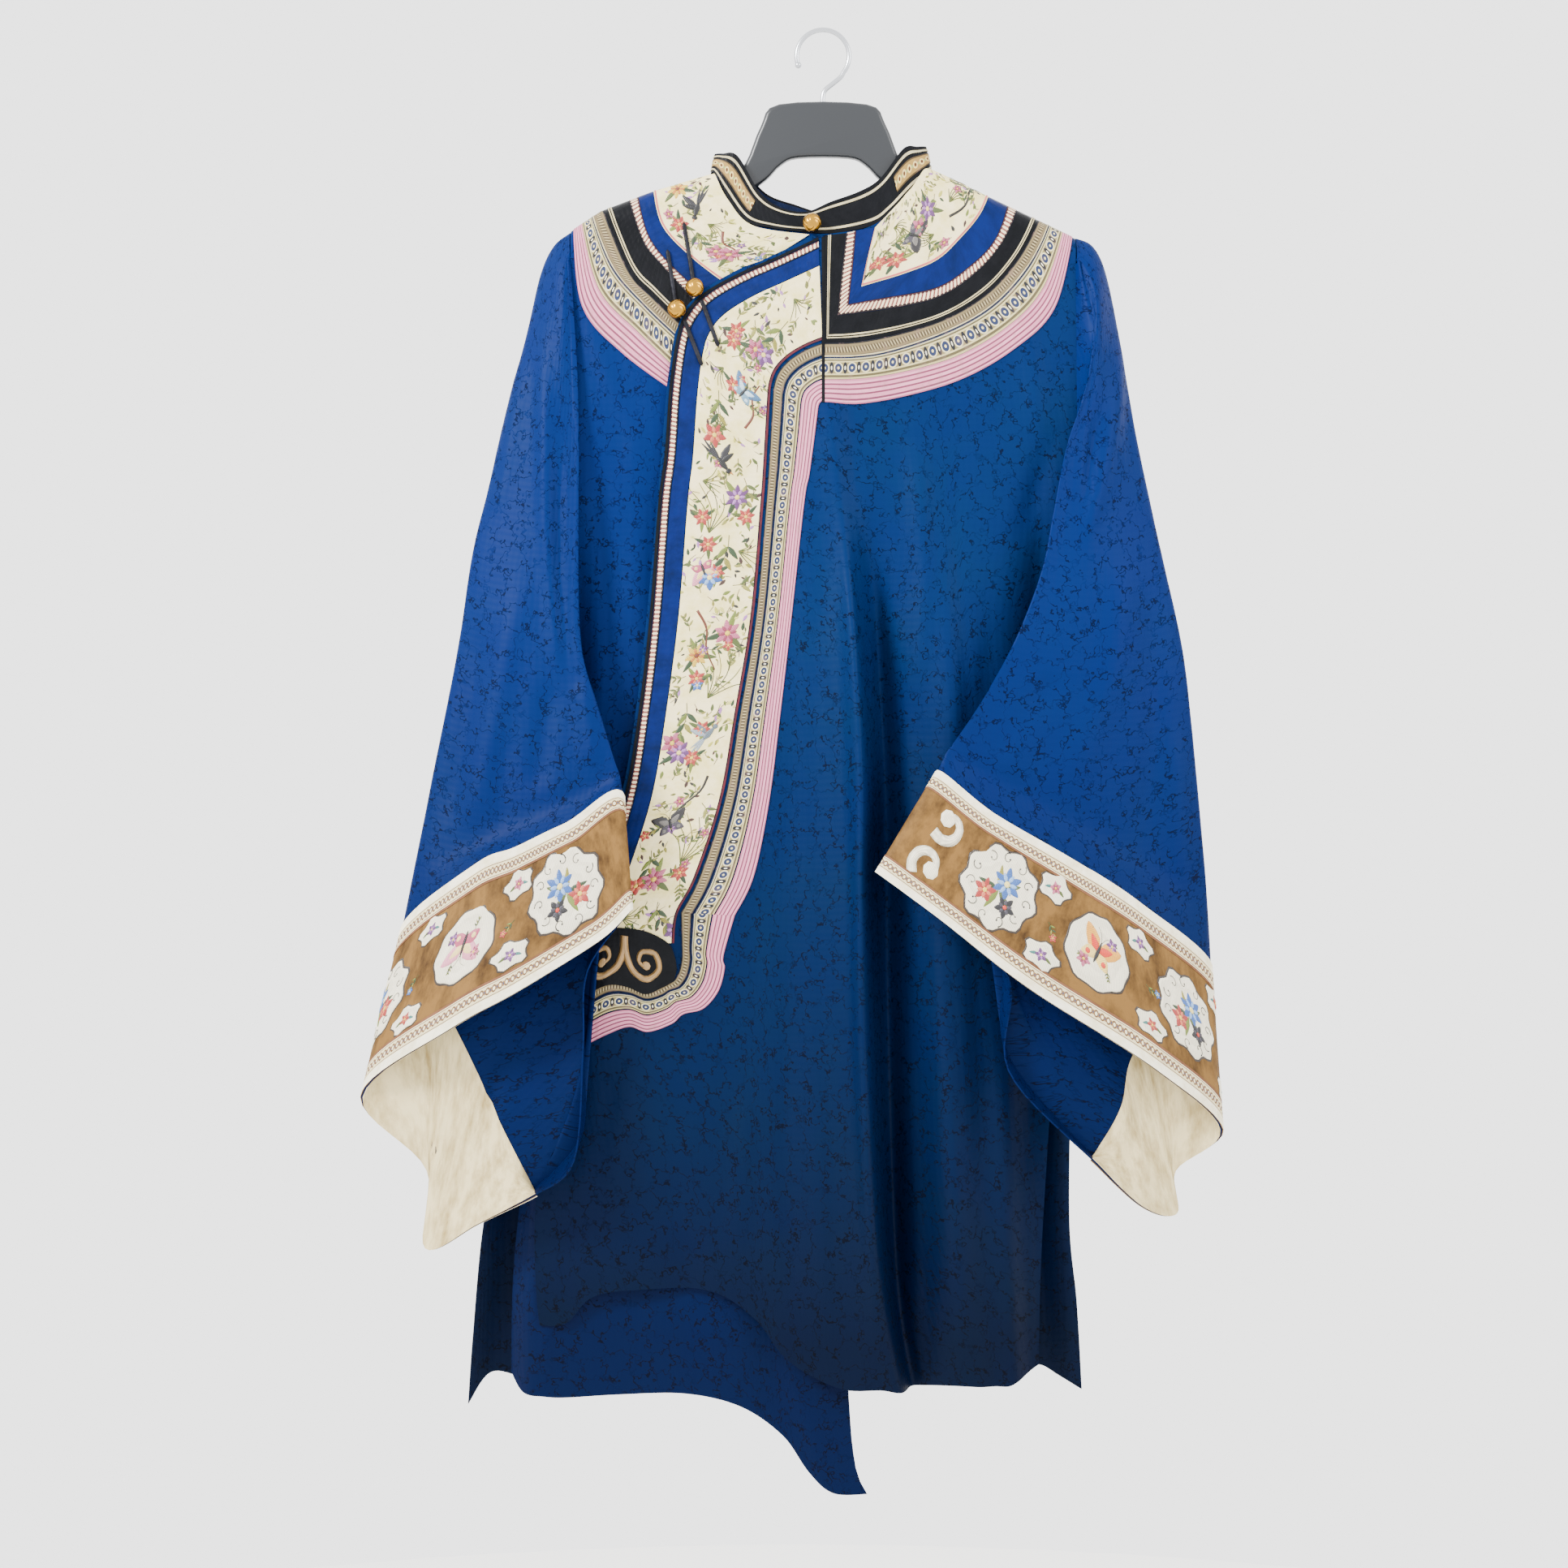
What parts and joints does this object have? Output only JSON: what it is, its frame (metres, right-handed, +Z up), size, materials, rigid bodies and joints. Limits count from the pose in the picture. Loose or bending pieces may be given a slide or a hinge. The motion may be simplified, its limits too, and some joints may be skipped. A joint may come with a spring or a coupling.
{
  "type": "silk robe on hanger",
  "caption": "Side-fastening silk robe with wide sleeves, ribboned yoke, lobed closing trim and embroidered sleeve bands, hanging on a plain plastic hanger.",
  "frame": {"origin": "inside top of the hanger's hook, where a rail carries it", "axes": "+X to the viewer's right, +Y away from the viewer towards the robe's back, +Z up"},
  "size_m": [0.6817, 0.1219, 1.1713],
  "materials": {
    "silk_damask": "lustrous",
    "sleeve_damask": "lustrous",
    "black_satin": "satin",
    "cream_silk": "matt",
    "blue_bias": "satin",
    "check_ribbon": "matt",
    "tan_ribbon": "matt",
    "figured_ribbon": "matt",
    "pink_ribbon": "matt",
    "dark_cord": "matt",
    "gold_band": "matt",
    "ivory_silk": "matt",
    "gilt_brass": "satin",
    "grey_plastic": "satin",
    "steel": "satin"
  },
  "bodies": {
    "root": {"back": "silk_damask", "button_lower": "gilt_brass", "button_neck": "gilt_brass", "button_upper": "gilt_brass", "closing_blue": "blue_bias", "closing_check": "check_ribbon", "closing_cord": "dark_cord", "closing_embroidered": "cream_silk", "closing_figured": "figured_ribbon", "closing_head": "black_satin", "closing_pink": "pink_ribbon", "closing_piping": "black_satin", "closing_tan": "tan_ribbon", "collar": "black_satin", "cuff_band_left": "gold_band", "cuff_band_right": "gold_band", "cuff_facing_left": "ivory_silk", "cuff_facing_right": "ivory_silk", "frog_lower_button_side": "black_satin", "frog_lower_loop_side": "black_satin", "frog_upper_button_side": "black_satin", "frog_upper_loop_side": "black_satin", "front_overlap": "silk_damask", "front_under": "silk_damask", "hanger": "grey_plastic", "head_figured": "figured_ribbon", "head_pink": "pink_ribbon", "head_tan": "tan_ribbon", "hook": "steel", "sleeve_left": "sleeve_damask", "sleeve_right": "sleeve_damask", "yoke_back_black": "black_satin", "yoke_back_blue": "blue_bias", "yoke_back_check": "check_ribbon", "yoke_back_cream": "cream_silk", "yoke_back_figured": "figured_ribbon", "yoke_back_pink": "pink_ribbon", "yoke_back_tan": "tan_ribbon", "yoke_left_black": "black_satin", "yoke_left_blue": "blue_bias", "yoke_left_check": "check_ribbon", "yoke_left_cream": "cream_silk", "yoke_left_figured": "figured_ribbon", "yoke_left_pink": "pink_ribbon", "yoke_left_tan": "tan_ribbon", "yoke_right_black": "black_satin", "yoke_right_blue": "blue_bias", "yoke_right_check": "check_ribbon", "yoke_right_cream": "cream_silk", "yoke_right_figured": "figured_ribbon", "yoke_right_pink": "pink_ribbon", "yoke_right_tan": "tan_ribbon"}
  },
  "joints": []
}
